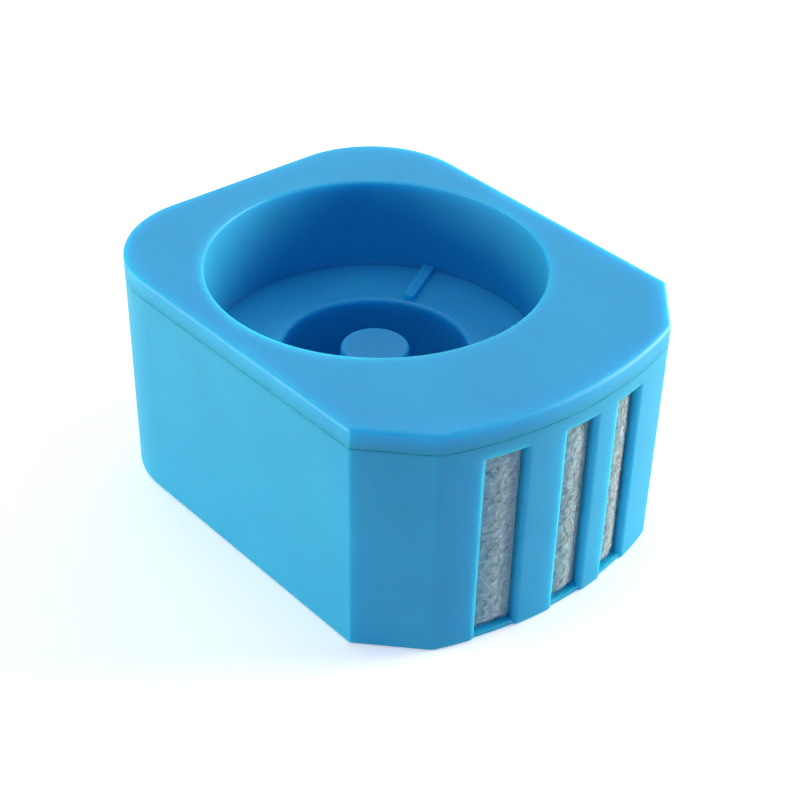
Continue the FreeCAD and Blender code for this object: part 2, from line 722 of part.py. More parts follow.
def grid_sector(sketch):
    """One opening between two spokes: an arc at the rim, an arc at the hub and two radial sides."""
    turn = math.pi / size("grid_spokes")
    half_spoke = size("grid_spoke") / 2
    arcs = []
    for name in ("grid_window", "grid_hub"):
        radius = size(name)
        sweep = turn - math.asin(half_spoke / radius)
        arc = Part.ArcOfCircle(Part.Circle(V(0, 0, 0), V(0, 0, 1), radius), -sweep, sweep)
        arcs.append((sketch.addGeometry(arc, False), radius, sweep))
    (rim, rim_r, rim_a), (hub, hub_r, hub_a) = arcs
    upper = Part.LineSegment(V(rim_r * math.cos(rim_a), rim_r * math.sin(rim_a), 0),
                             V(hub_r * math.cos(hub_a), hub_r * math.sin(hub_a), 0))
    lower = Part.LineSegment(V(hub_r * math.cos(hub_a), -hub_r * math.sin(hub_a), 0),
                             V(rim_r * math.cos(rim_a), -rim_r * math.sin(rim_a), 0))
    top = sketch.addGeometry(upper, False)
    bottom = sketch.addGeometry(lower, False)
    for one, p, other, q in ((rim, 2, top, 1), (top, 2, hub, 2), (hub, 1, bottom, 1), (bottom, 2, rim, 1)):
        sketch.addConstraint(Sketcher.Constraint("Coincident", one, p, other, q))
    sketch.addConstraint(Sketcher.Constraint("Coincident", rim, 3, -1, 1))
    sketch.addConstraint(Sketcher.Constraint("Coincident", hub, 3, -1, 1))
    dimension(sketch, "Radius", (rim,), rim_r, "grid_window")
    dimension(sketch, "Radius", (hub,), hub_r, "grid_hub")
    for name, radius, sweep, high, low in (("grid_window", rim_r, rim_a, (top, 1), (bottom, 2)),
                                           ("grid_hub", hub_r, hub_a, (top, 2), (bottom, 1))):
        reach = radius * math.sin(sweep)
        formula = "%s * sin((180 / grid_spokes) * 1 deg - asin(grid_spoke / 2 / %s))" % (name, name)
        dimension(sketch, "DistanceY", (-1, 1) + high, reach, formula)
        dimension(sketch, "DistanceY", low + (-1, 1), reach, formula)


# ---------------------------------------------------------------- resin bed

def make_resin_bed():
    """Settled beads: they fill the tub around the cup, up to just under the ledge."""
    body = new_body("resin_bed")
    plan = new_sketch(body, "bed_plan", "floor")
    tub_outline(plan, "bed_inset")
    feature(body, "Pad", "bed_fill", plan, "bed_top - floor", taper="draft")

    # The beads stop at the rails' lips, and between the lips they reach to the felt's frame
    front = new_sketch(body, "bed_front_plan", "floor")
    bed_front_profile(front)
    feature(body, "Pocket", "bed_front_cut", front, "bed_top - floor", up=True)

    crater = new_sketch(body, "crater_plan", "bed_top")
    circle(crater, "crater_radius")
    feature(body, "Pocket", "crater", crater, "bed_top - crater_level", up=False)
    return body


def bed_front_profile(sketch):
    """Everything in front of the bed: outside the lips straight across, between them to the frame."""
    centre = size("nose_centre")
    radius, half = size("bed_nose"), size("bed_half")
    front, wide, out = -size("bed_front"), size("half_width"), -size("past_front")
    low = centre - math.sqrt(radius ** 2 - half ** 2)
    sweep = math.atan2(low - centre, half)
    arc = Part.ArcOfCircle(Part.Circle(V(0, centre, 0), V(0, 0, 1), radius), -math.pi - sweep, sweep)
    bow = sketch.addGeometry(arc, False)
    path = [V(half, low, 0), V(half, front, 0), V(wide, front, 0), V(wide, out, 0),
            V(-wide, out, 0), V(-wide, front, 0), V(-half, front, 0), V(-half, low, 0)]
    lines = [sketch.addGeometry(Part.LineSegment(path[i], path[i + 1]), False) for i in range(7)]
    chain = [bow] + lines
    for one, other in zip(chain, chain[1:] + [bow]):
        sketch.addConstraint(Sketcher.Constraint("Coincident", one, 2, other, 1))
    sketch.addConstraint(Sketcher.Constraint("Vertical", lines[0]))
    sketch.addConstraint(Sketcher.Constraint("Vertical", lines[6]))
    sketch.addConstraint(Sketcher.Constraint("PointOnObject", bow, 3, -2))
    dimension(sketch, "DistanceY", (-1, 1, bow, 3), centre, "nose_centre")
    dimension(sketch, "Radius", (bow,), radius, "bed_nose")
    place(sketch, lines[1], 1, "bed_half", "-bed_front")
    place(sketch, lines[2], 1, "half_width", "-bed_front")
    place(sketch, lines[3], 1, "half_width", "-past_front")
    place(sketch, lines[4], 1, "-half_width", "-past_front")
    place(sketch, lines[5], 1, "-half_width", "-bed_front")
    place(sketch, lines[6], 1, "-bed_half", "-bed_front")


# ---------------------------------------------------------------- build, check and write

bodies = [
    make_body_shell(),
    make_top_cover(),
    make_band("outlet_felt", "felt_out", "felt_in"),
    make_felt_frame(),
    make_inlet_felt(),
    make_inlet_grid(),
    make_resin_bed(),
]
doc.recompute()

for item in doc.Objects:
    if "Invalid" in item.State or "Error" in item.State:
        raise RuntimeError("%s is not right: %s" % (item.Label, item.State))
for body in bodies:
    if body.Shape.isNull() or not body.Shape.isValid() or not body.Shape.Solids:
        raise RuntimeError("%s has no valid solid" % body.Label)
for body in bodies:
    body.Placement = FreeCAD.Placement(V(0, 0, 0), FreeCAD.Rotation())
    body.Shape.exportStep("parts/%s.step" % body.Label)
    print("%-12s %9.1f mm3 %d solid(s)" % (body.Label, body.Shape.Volume, len(body.Shape.Solids)))
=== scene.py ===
"""Looks of a drop-in water filter cartridge.

It has two blue mouldings, two felts with a white frame and grid behind them, and a bed of beads.

Every length is in metres. MM turns a size in millimetres into metres. The seat's axis is the
line x = 0, y = 0, the bowed front faces -Y, and Z is up.
"""

import math

import bpy
import numpy as np
from mathutils import Matrix, Vector


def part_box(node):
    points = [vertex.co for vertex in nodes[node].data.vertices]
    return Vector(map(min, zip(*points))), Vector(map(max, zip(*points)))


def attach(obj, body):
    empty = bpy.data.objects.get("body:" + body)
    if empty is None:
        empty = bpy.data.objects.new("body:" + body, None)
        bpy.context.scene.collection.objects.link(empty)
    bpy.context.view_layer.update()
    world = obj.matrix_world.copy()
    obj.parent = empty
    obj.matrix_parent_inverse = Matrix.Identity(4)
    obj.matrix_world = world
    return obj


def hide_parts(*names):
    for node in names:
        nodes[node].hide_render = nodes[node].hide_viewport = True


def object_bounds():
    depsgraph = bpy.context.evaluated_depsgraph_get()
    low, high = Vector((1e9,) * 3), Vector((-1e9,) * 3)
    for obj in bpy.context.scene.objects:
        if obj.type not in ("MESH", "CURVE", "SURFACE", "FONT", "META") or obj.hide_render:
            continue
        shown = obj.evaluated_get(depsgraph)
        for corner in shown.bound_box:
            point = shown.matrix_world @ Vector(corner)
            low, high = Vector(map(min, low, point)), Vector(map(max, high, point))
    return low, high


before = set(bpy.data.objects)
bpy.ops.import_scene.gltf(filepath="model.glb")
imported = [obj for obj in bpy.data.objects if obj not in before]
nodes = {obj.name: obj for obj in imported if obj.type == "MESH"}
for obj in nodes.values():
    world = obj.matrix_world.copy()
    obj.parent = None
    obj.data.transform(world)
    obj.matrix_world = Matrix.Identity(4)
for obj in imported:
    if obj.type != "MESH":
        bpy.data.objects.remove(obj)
cad_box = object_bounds()

MM = 0.001
SEED = 20    # each random draw adds its own step to this


# ---------------------------------------------------------------- colour and material helpers

def linear(code):
    """Linear RGBA of an sRGB hex colour such as '3fa7dc'."""
    parts = np.array([int(code[i:i + 2], 16) for i in (0, 2, 4)]) / 255
    flat = np.where(parts <= 0.04045, parts / 12.92, ((parts + 0.055) / 1.055) ** 2.4)
    return (*flat.tolist(), 1.0)


def new_material(name):
    """Material with its Principled shader and its node tree."""
    material = bpy.data.materials.new(name)
    material.use_nodes = True
    tree = material.node_tree
    return material, tree, tree.nodes["Principled BSDF"]


def add(tree, kind, settings=None, **links):
    """Add a node. Settings are its own values. Links give sockets a value or another's output."""
    node = tree.nodes.new(kind)
    for key, value in (settings or {}).items():
        setattr(node, key, value)
    for key, value in links.items():
        socket = node.inputs[int(key[1:]) if key[0] == "_" else key.replace("_", " ")]
        if isinstance(value, bpy.types.NodeSocket):
            tree.links.new(value, socket)
        else:
            socket.default_value = value
    return node


def ramp(tree, source, *stops):
    """Colour ramp over a value: stops are (position, colour)."""
    node = add(tree, "ShaderNodeValToRGB", Fac=source)
    band = node.color_ramp
    while len(band.elements) < len(stops):
        band.elements.new(0.5)
    for element, (position, colour) in zip(band.elements, stops):
        element.position = position
        element.color = colour
    return node.outputs["Color"]


def noise(tree, where, pitch, detail=2.0, rough=0.5):
    """Noise whose grain is about the given pitch in metres."""
    return add(tree, "ShaderNodeTexNoise", Vector=where, Scale=1 / pitch, Detail=detail,
               Roughness=rough).outputs["Fac"]


def give(shader, **values):
    """Set uniform values on the shader's own sockets."""
    for key, value in values.items():
        shader.inputs[key.replace("_", " ")].default_value = value


# ---------------------------------------------------------------- materials

def satin_polypropylene(name, body, deep, glow_mm, glow, roughness, grain_mm):
    """Injection-moulded polypropylene, a little milky, from a fine spark-eroded mould.

    Light soaks a few millimetres in, so that edges glow and shadows stay coloured. The mould's
    fine texture breaks up the gloss, and flow in the mould leaves very faint cloudy shading.
    """
    material, tree, shader = new_material(name)
    where = add(tree, "ShaderNodeTexCoord").outputs["Object"]
    cloud = noise(tree, where, 14 * MM, 3.0)
    tint = ramp(tree, cloud, (0.30, linear(deep)), (0.70, linear(body)))
    tree.links.new(tint, shader.inputs["Base Color"])
    grain = noise(tree, where, grain_mm * MM, 3.0, 0.6)
    sheen = add(tree, "ShaderNodeMapRange", Value=grain, From_Min=0.3, From_Max=0.7,
                To_Min=roughness - 0.04, To_Max=roughness + 0.05).outputs["Result"]
    tree.links.new(sheen, shader.inputs["Roughness"])
    sink = noise(tree, where, 6 * MM, 1.0)
    low = add(tree, "ShaderNodeBump", Strength=0.10, Distance=0.05 * MM, Height=sink)
    fine = add(tree, "ShaderNodeBump", Strength=0.10, Distance=0.02 * MM, Height=grain,
               Normal=low.outputs["Normal"])
    tree.links.new(fine.outputs["Normal"], shader.inputs["Normal"])
    give(shader, IOR=1.49, Subsurface_Weight=glow, Subsurface_Scale=glow_mm * MM,
         Subsurface_Radius=(0.2, 1.1, 1.0))
    return material


def needle_felt(name, pale, shade, speck):
    """Needle-punched polyester felt.

    It is matte and grey-white, matted in cloudy tufts, with a few darker strands and a faint
    sheen where fibre ends catch the light.
    """
    material, tree, shader = new_material(name)
    where = add(tree, "ShaderNodeTexCoord").outputs["Object"]
    tufts = noise(tree, where, 0.6 * MM, 4.0, 0.7)
    tint = ramp(tree, tufts, (0.30, linear(shade)), (0.70, linear(pale)))
    stretch = add(tree, "ShaderNodeMapping", Vector=where, Scale=(1.0, 1.0, 0.35),
                  Rotation=(0.4, 0.7, 0.3)).outputs["Vector"]
    strands = noise(tree, stretch, 0.28 * MM, 3.0, 0.7)
    dark = ramp(tree, strands, (0.27, (1, 1, 1, 1)), (0.37, (0, 0, 0, 1)))
    mixed = add(tree, "ShaderNodeMix", {"data_type": "RGBA"}, _0=dark, _6=tint, _7=linear(speck))
    tree.links.new(mixed.outputs[2], shader.inputs["Base Color"])
    matted = noise(tree, where, 0.35 * MM, 4.0, 0.7)
    lift = add(tree, "ShaderNodeBump", Strength=0.25, Distance=0.05 * MM, Height=matted)
    tree.links.new(lift.outputs["Normal"], shader.inputs["Normal"])
    give(shader, Roughness=0.95, IOR=1.5, Specular_IOR_Level=0.2, Sheen_Weight=0.25,
         Sheen_Roughness=0.6, Subsurface_Weight=0.2, Subsurface_Scale=0.6 * MM)
    return material


def polyester_fibre(name, pale, shade):
    """Crimped polyester staple fibre: slightly shiny, and no two quite the same white."""
    material, tree, shader = new_material(name)
    where = add(tree, "ShaderNodeTexCoord").outputs["Object"]
    tone = noise(tree, where, 0.8 * MM, 2.0)
    tree.links.new(ramp(tree, tone, (0.35, linear(shade)), (0.65, linear(pale))),
                   shader.inputs["Base Color"])
    give(shader, Roughness=0.55, IOR=1.57, Subsurface_Weight=0.3, Subsurface_Scale=0.3 * MM)
    return material


def exchange_resin(name, pale, dark, scatter):
    """Gel-type ion-exchange resin: glassy amber beads that look wet.

    Cells about as wide as a bead give each one a slightly different honey colour.
    """
    material, tree, shader = new_material(name)
    where = add(tree, "ShaderNodeTexCoord").outputs["Object"]
    each = add(tree, "ShaderNodeTexVoronoi", Vector=where, Scale=1 / (1.3 * MM)).outputs["Color"]
    tone = add(tree, "ShaderNodeSeparateColor", Color=each).outputs["Red"]
    tree.links.new(ramp(tree, tone, (0.1, linear(dark)), (0.9, linear(pale))),
                   shader.inputs["Base Color"])
    wet = noise(tree, where, 3 * MM, 2.0)
    gloss = add(tree, "ShaderNodeMapRange", Value=wet, From_Min=0.3, From_Max=0.7,
                To_Min=0.12, To_Max=0.28).outputs["Result"]
    tree.links.new(gloss, shader.inputs["Roughness"])
    give(shader, IOR=1.5, Subsurface_Weight=scatter, Subsurface_Scale=0.8 * MM,
         Subsurface_Radius=(1.0, 0.5, 0.15))
    return material


def painted_floor(name, seen, bounced):
    """Matt white painted board, overexposed.

    It looks nearly white, and throws less light back than it shows, least of all at its near side.
    A faint glow of its own stands for the bright sweep of board further off.
    """
    material, tree, shader = new_material(name)
    path = add(tree, "ShaderNodeLightPath").outputs["Is Camera Ray"]
    where = add(tree, "ShaderNodeTexCoord").outputs["Object"]
    across = add(tree, "ShaderNodeVectorMath", {"operation": "DOT_PRODUCT"}, _0=where,
                 _1=(0.5, 1.0, 0.0)).outputs["Value"]
    share = add(tree, "ShaderNodeMapRange", Value=across, From_Min=-0.12, From_Max=0.04)
    graded = ramp(tree, share.outputs["Result"], (0.0, linear(bounced)), (1.0, linear(seen)))
    tone = add(tree, "ShaderNodeMix", {"data_type": "RGBA"}, _0=path, _6=graded,
               _7=linear(seen))
    tree.links.new(tone.outputs[2], shader.inputs["Base Color"])
    give(shader, Roughness=0.9, Specular_IOR_Level=0.0)
    glow = add(tree, "ShaderNodeMapRange", Value=path, To_Min=0.12, To_Max=0.30)
    tree.links.new(glow.outputs["Result"], shader.inputs["Emission Strength"])
    shader.inputs["Emission Color"].default_value = (1, 1, 1, 1)
    return material


blue = satin_polypropylene("sky_blue_polypropylene", "1aa3da", "179cd3", 5.0, 1.0, 0.55, 0.18)
white = satin_polypropylene("white_polypropylene", "eceeea", "e2e5e0", 1.5, 0.35, 0.45, 0.22)
# The felt's and the fibres' colours are grey-white with a painted blue cast. The cast stands in for
# the light that reaches them through the blue shell.
felt = needle_felt("grey_needle_felt", "b2d2d8", "93b0b7", "647e85")
fibre = polyester_fibre("polyester_fibre", "e0f0f3", "8facb3")
resin = exchange_resin("amber_exchange_resin", "e2a94e", "b06c22", 0.35)
# A darker, less translucent copy of the same resin for the packed mass under the loose beads. Its
# darker amber is painted shade among the buried beads.
resin_painted_shade = exchange_resin("amber_resin_below_painted_shade", "a5682a", "7d4a18", 0.1)


# The carried-over mouldings keep their meshes and get one material each
for node, material in (("body_shell", blue), ("top_cover", blue), ("felt_frame", white),
                       ("inlet_grid", white)):
    slots = nodes[node].data.materials
    slots.clear()
    slots.append(material)


# ---------------------------------------------------------------- mesh helpers

def make_piece(name, points, faces, material):
    """Smooth mesh object from an array of points and one of faces with equally many corners."""
    mesh = bpy.data.meshes.new(name)
    faces = np.asarray(faces, np.int32)
    mesh.vertices.add(len(points))
    mesh.vertices.foreach_set("co", np.asarray(points, np.float32).ravel())
    mesh.loops.add(faces.size)
    mesh.loops.foreach_set("vertex_index", faces.ravel())
    mesh.polygons.add(len(faces))
    mesh.polygons.foreach_set("loop_start", np.arange(len(faces)) * faces.shape[1])
    mesh.update(calc_edges=True)
    mesh.validate()
    mesh.polygons.foreach_set("use_smooth", np.full(len(faces), True))
    mesh.materials.append(material)
    piece = bpy.data.objects.new(name, mesh)
    bpy.context.scene.collection.objects.link(piece)
    return piece


def grid_faces(rows, columns, start=0, flip=False, closed=False):
    """Quads of a grid of points, row by row. A closed grid joins its last column to its first."""
    i, j = np.meshgrid(np.arange(rows - 1), np.arange(columns if closed else columns - 1),
                       indexing="ij")
    k = (j + 1) % columns
    quads = np.stack([i * columns + j, i * columns + k, (i + 1) * columns + k,
                      (i + 1) * columns + j], -1).reshape(-1, 4) + start
    return quads[:, ::-1] if flip else quads


def turned_faces(rows, around):
    """Triangles of a closed turned shape.

    Its points are rows of `around` points each, from the middle of the top, out and down, to
    the middle of the bottom, followed by the two middle points themselves.
    """
    quads = grid_faces(rows, around, closed=True, flip=True)
    top, bottom, last = rows * around, rows * around + 1, (rows - 1) * around
    j = np.arange(around)
    k = (j + 1) % around
    lid = np.stack([np.full(around, top), j, k], -1)
    base = np.stack([np.full(around, bottom), last + k, last + j], -1)
    return np.concatenate([quads[:, [0, 1, 2]], quads[:, [0, 2, 3]], lid, base])


def node_corners(node):
    """Corners of a node's mesh, as an array of rows of x, y and z."""
    corners = nodes[node].data.vertices
    flat = np.empty(len(corners) * 3, np.float32)
    corners.foreach_get("co", flat)
    return flat.reshape(-1, 3).astype(float)


def ease(share):
    """Smooth step from 0 to 1: 3 s squared less 2 s cubed, held level outside."""
    share = np.clip(share, 0, 1)
    return share * share * (3 - 2 * share)


LATTICE = 64    # the random lattice repeats after this many steps


def lumps(x, y, pitch, seed):
    """Smooth random height from 0 to 1.

    Random values stand on a square lattice, and are blended between its corners.
    """
    table = np.random.default_rng(seed).random((LATTICE, LATTICE))
    u, v = np.asarray(x) / pitch, np.asarray(y) / pitch
    i, j = np.floor(u).astype(int), np.floor(v).astype(int)
    fu, fv = ease(u - i), ease(v - j)
    i0, j0, i1, j1 = i % LATTICE, j % LATTICE, (i + 1) % LATTICE, (j + 1) % LATTICE
    low = table[i0, j0] * (1 - fu) + table[i1, j0] * fu
    high = table[i0, j1] * (1 - fu) + table[i1, j1] * fu
    return low * (1 - fv) + high * fv


def felt_height(x, y, seed):
    """Matted surface from 0 to 1: broad tufts, finer lumps and, most of all, single strands.

    The three share the height as 15, 30 and 55 parts. The middle one's lattice is turned, so
    that the lattices don't line up.
    """
    broad = lumps(x, y, 1.6 * MM, seed)
    tuft = lumps(x * 0.8 + y * 0.6, y * 0.8 - x * 0.6, 0.7 * MM, seed + 1)
    fine = lumps(x, y, 0.32 * MM, seed + 2)
    return 0.15 * broad + 0.3 * tuft + 0.55 * fine


def edge_fall(distance, radius):
    """How far a rounded edge falls below its face, at a distance in from the border."""
    near = np.clip(radius - distance, 0, radius)
    return radius - np.sqrt(radius ** 2 - near ** 2)


# ---------------------------------------------------------------- outlet felt

FELT_STEP = 0.22 * MM       # between the points of the felt's grids
FELT_EDGE = 0.55 * MM       # cut edges are crushed round
FELT_NAP = 0.07 * MM        # depth of the matted surface
FELT_BULGE = 0.60 * MM      # how far the filling pushes the felt out through each slot
BULGE_FOOT = 1.2 * MM       # height over which the bulge rises at a slot's foot
BULGE_HEAD = 3.0 * MM       # and over which it falls at its head
FIBRE_RADIUS = 0.027 * MM   # about twice the real fibre's, which is too fine to show

# Clear openings of the three slots: left and right edges, then the foot and head that they share
SLOTS = ((-14.6 * MM, -9.05 * MM), (-1.55 * MM, 3.35 * MM), (8.75 * MM, 13.25 * MM))
SLOT_FOOT, SLOT_HEAD = 1.1 * MM, 31.8 * MM

low, high = (np.array(c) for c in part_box("outlet_felt"))


def bow_fit():
    """Circles, in plan, of the felt's front and back at its foot, then at its head.

    Each is a radius and the y of its centre, and is fixed by three corners of the node: the
    face's two ends and its middle, on the line of symmetry. For half a chord h and a bow b,
    the radius is (h squared + b squared) / 2 b.
    """
    corners = node_corners("outlet_felt")
    same = 1e-6         # corners nearer to a level or an end than this are on it
    near_middle = 8     # the corners nearest to the line of symmetry, front and back
    found = []
    for z in (corners[:, 2].min(), corners[:, 2].max()):
        level = corners[np.abs(corners[:, 2] - z) < same]
        half = level[:, 0].max()
        ends = level[np.abs(level[:, 0]) > half - same]
        middle = level[np.argsort(np.abs(level[:, 0]))[:near_middle]]
        for end, tip in ((ends[:, 1].min(), level[:, 1].min()),
                         (ends[:, 1].max(), middle[:, 1].max())):
            bow = end - tip
            radius = (half ** 2 + bow ** 2) / (2 * bow)
            found.append((radius, tip + radius))
    return found


felt_circles = bow_fit()


def felt_face(x, z, back):
    """The y of the felt's front or back face: a circular arc in plan, blended from foot to head."""
    t = (z - low[2]) / (high[2] - low[2])
    (r0, c0), (r1, c1) = felt_circles[back], felt_circles[2 + back]
    radius, centre = r0 + (r1 - r0) * t, c0 + (c1 - c0) * t
    return centre - np.sqrt(radius ** 2 - x ** 2)


def front_depth(x, z):
    """How far the felt's front lies behind its plain face: the nap, less a soft bulge in each slot.

    The bulge is a sine crown from side to side, and rises smoothly from the slot's foot and head.
    """
    bulge = np.zeros(np.broadcast(x, z).shape)
    for left, right in SLOTS:
        across = np.sin(math.pi * np.clip((x - left) / (right - left), 0, 1))
        up = ease((z - SLOT_FOOT) / BULGE_FOOT) * ease((SLOT_HEAD - z) / BULGE_HEAD)
        bulge += across * up
    return FELT_NAP * (1 - felt_height(x, z, SEED)) - FELT_BULGE * bulge


def make_outlet_felt():
    """Pad of felt bent round the bowed front.

    Its front and back are grids over width and height. Both are pulled in by the matted nap
    and by the crushed edges, and a strip of quads round the border joins them.
    """
    columns = int((high[0] - low[0]) / FELT_STEP)
    rows = int((high[2] - low[2]) / FELT_STEP)
    x = np.linspace(low[0], high[0], columns)[None, :].repeat(rows, 0)
    z = np.linspace(low[2], high[2], rows)[:, None].repeat(columns, 1)
    border = np.minimum(np.minimum(x - low[0], high[0] - x), np.minimum(z - low[2], high[2] - z))
    fall = edge_fall(border, FELT_EDGE)
    sheets = []
    back_depth = FELT_NAP * (1 - felt_height(x, z, SEED + 10))
    for back, depth in ((0, front_depth(x, z) + fall), (1, -back_depth - fall)):
        sheets.append(np.stack([x, felt_face(x, z, back) + depth, z], -1).reshape(-1, 3))
    count = rows * columns
    faces = [grid_faces(rows, columns), grid_faces(rows, columns, count, flip=True)]
    index = np.arange(count).reshape(rows, columns)
    ring = np.concatenate([index[0, :-1], index[:-1, -1], index[-1, :0:-1], index[:0:-1, 0]])
    after = np.roll(ring, -1)
    faces.append(np.stack([ring, ring + count, after + count, after], -1))
    return make_piece("outlet_felt_pad", np.concatenate(sheets), np.concatenate(faces), felt)


def fibre_tubes(name, paths, material):
    """Thin three-sided tubes along many paths at once. paths is (fibres, points, 3).

    At each point, three corners stand round the path at the fibre's radius, a third of a turn
    apart, in the plane across it. The tube thins at its two ends, which are closed.
    """
    fibres, steps, _ = paths.shape
    along = np.gradient(paths, axis=1)
    along /= np.linalg.norm(along, axis=2, keepdims=True) + 1e-12
    aside = np.array([0.31, 0.87, 0.38])    # any direction that fibres seldom follow
    side = np.cross(along, aside)
    side /= np.linalg.norm(side, axis=2, keepdims=True) + 1e-12
    over = np.cross(along, side)
    taper = np.ones(steps)
    taper[[0, -1]] = 0.35
    rings = []
    for turn in (0, 2 * math.pi / 3, 4 * math.pi / 3):
        rings.append(paths + FIBRE_RADIUS * taper[None, :, None]
                     * (math.cos(turn) * side + math.sin(turn) * over))
    points = np.stack(rings, 2).reshape(-1, 3)
    tube = grid_faces(steps, 3, closed=True)
    offset = (np.arange(fibres) * steps * 3)[:, None, None]
    quads = (tube[None] + offset).reshape(-1, 4)
    tips = np.array([[0, 2, 1], [steps * 3 - 3, steps * 3 - 2, steps * 3 - 1]])
    caps = (tips[None] + offset).reshape(-1, 3)
    first, second = quads[:, [0, 1, 2]], quads[:, [0, 2, 3]]
    return make_piece(name, points, np.concatenate([first, second, caps]), material)


def make_surface_fibres():
    """Loose strands on the felt behind each slot.

    Each is a curve over the felt's face: it starts anywhere in the slot, turns steadily, and
    rises off the face in a low sine hump. Most lie nearly flat, and a few stand up further.
    """
    draw = np.random.default_rng(SEED + 30)
    steps = 6              # points along a strand
    per_mm = 370           # strands to a millimetre of slot width
    spread = 1.6           # standard turn of a strand from end to end, in radians
    sunk = 0.04 * MM       # its ends lie this far below the face
    t = np.linspace(0, 1, steps)[None, :]
    all_paths = []
    for left, right in SLOTS:
        number = int(per_mm * (right - left) / MM)
        x0 = draw.uniform(left, right, (number, 1))
        z0 = draw.uniform(SLOT_FOOT, SLOT_HEAD, (number, 1))
        length = draw.uniform(0.9, 3.6, (number, 1)) * MM
        heading = draw.uniform(0, 2 * math.pi, (number, 1))
        turn = draw.normal(0, spread, (number, 1))
        lean = heading + turn * t
        x = x0 + np.cumsum(np.cos(lean), 1) * length / steps
        z = z0 + np.cumsum(np.sin(lean), 1) * length / steps
        x = np.clip(x, left, right)
        z = np.clip(z, SLOT_FOOT, SLOT_HEAD)
        lift = draw.gamma(2.0, 0.045, (number, 1)) * MM
        hump = lift * np.sin(math.pi * t) - sunk
        all_paths.append(np.stack([x, felt_face(x, z, 0) + front_depth(x, z) - hump, z], -1))
    return fibre_tubes("outlet_felt_fibres", np.concatenate(all_paths), fibre)


outlet = make_outlet_felt()
strands = make_surface_fibres()
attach(outlet, "shell")
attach(strands, "shell")
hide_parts("outlet_felt")


# ---------------------------------------------------------------- inlet felt

def make_inlet_felt():
    """Round pad of felt.

    A profile runs from the middle of the top, out round the crushed edge, to the middle of the
    bottom. It is turned about the seat's axis, and each point is pulled in by the matted nap,
    by half as much on the edge.
    """
    foot, head = (np.array(c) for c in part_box("inlet_felt"))
    radius, middle = (head[0] - foot[0]) / 2, (head[2] + foot[2]) / 2
    half = (head[2] - foot[2]) / 2
    around = 220
    shift = 0.02    # takes the nap's pattern off the axis, where its lattices meet
    spokes = np.linspace(0.02, 1, 56) * (radius - FELT_EDGE)
    corner = np.linspace(0, math.pi / 2, 6)[1:]
    out_r = np.concatenate([spokes, radius - FELT_EDGE + FELT_EDGE * np.sin(corner)])
    out_z = np.concatenate([np.full(len(spokes), half),
                            half - FELT_EDGE + FELT_EDGE * np.cos(corner)])
    ring_r = np.concatenate([out_r, out_r[::-1]])
    ring_z = np.concatenate([out_z, -out_z[::-1]])
    turn = np.linspace(0, 2 * math.pi, around, endpoint=False)
    r, a = ring_r[:, None], turn[None, :]
    z = np.broadcast_to(ring_z[:, None], (len(ring_r), around))
    x, y = r * np.cos(a), r * np.sin(a)
    nap = FELT_NAP * (1 - felt_height(x + shift, y + shift, SEED + 40))
    flat = np.abs(z) > half - 0.01 * MM
    z = z - np.sign(z) * np.where(flat, nap, 0.5 * nap)
    squeeze = 1 - np.where(flat, 0, 0.5 * nap) / radius
    points = np.stack([x * squeeze, y * squeeze, z + middle], -1).reshape(-1, 3)
    points = np.concatenate([points, [[0, 0, middle + half - FELT_NAP / 2],
                                      [0, 0, middle - half + FELT_NAP / 2]]])
    return make_piece("inlet_felt_pad", points, turned_faces(len(ring_r), around), felt)


inlet = make_inlet_felt()
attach(inlet, "cover")
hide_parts("inlet_felt")


# ---------------------------------------------------------------- resin bed

BEAD_RADIUS = 0.6 * MM
BEAD_DROP = 0.5 * MM        # how far a bead may lie below its neighbours
BEAD_PITCH = 1.16 * MM      # beads settle just touching
ROW_PITCH = BEAD_PITCH * 0.866    # between staggered rows: half the root of three


def read_crater(corners):
    """Radius and floor level of the round hollow in the bed, then the bed's floor and top."""
    clear = 0.1 * MM    # corners this far from the floor and the top belong to the hollow
    bottom, top = corners[:, 2].min(), corners[:, 2].max()
    inner = corners[(corners[:, 2] > bottom + clear) & (corners[:, 2] < top - clear)]
    reach = np.hypot(inner[:, 0], inner[:, 1])
    floor = inner[reach < reach.min() + 0.05 * MM, 2]
    return reach.min(), floor.min(), bottom, top


def bed_outline(corners):
    """Rim of the bed's level top, in plan: its outer corners in order round the axis."""
    level, beyond = 0.01 * MM, 0.3 * MM
    reach = np.hypot(corners[:, 0], corners[:, 1])
    top = corners[(corners[:, 2] > corners[:, 2].max() - level)
                  & (reach > crater_radius + beyond)]
    plan = np.unique(np.round(top[:, :2], 6), axis=0)
    return plan[np.argsort(np.arctan2(plan[:, 1], plan[:, 0]))]


bed_corners = node_corners("resin_bed")
crater_radius, crater_floor, bed_floor, bed_top = read_crater(bed_corners)
rim = bed_outline(bed_corners)


def cross(p, q):
    """Cross product of plane vectors."""
    return p[..., 0] * q[..., 1] - p[..., 1] * q[..., 0]


def reach_at(angle):
    """Distance from the axis to the bed's rim, at each angle: where the ray crosses its side."""
    k = np.searchsorted(np.arctan2(rim[:, 1], rim[:, 0]), angle) % len(rim)
    start, side = rim[k - 1], rim[k] - rim[k - 1]
    ray = np.stack([np.cos(angle), np.sin(angle)], -1)
    return cross(start, side) / cross(ray, side)


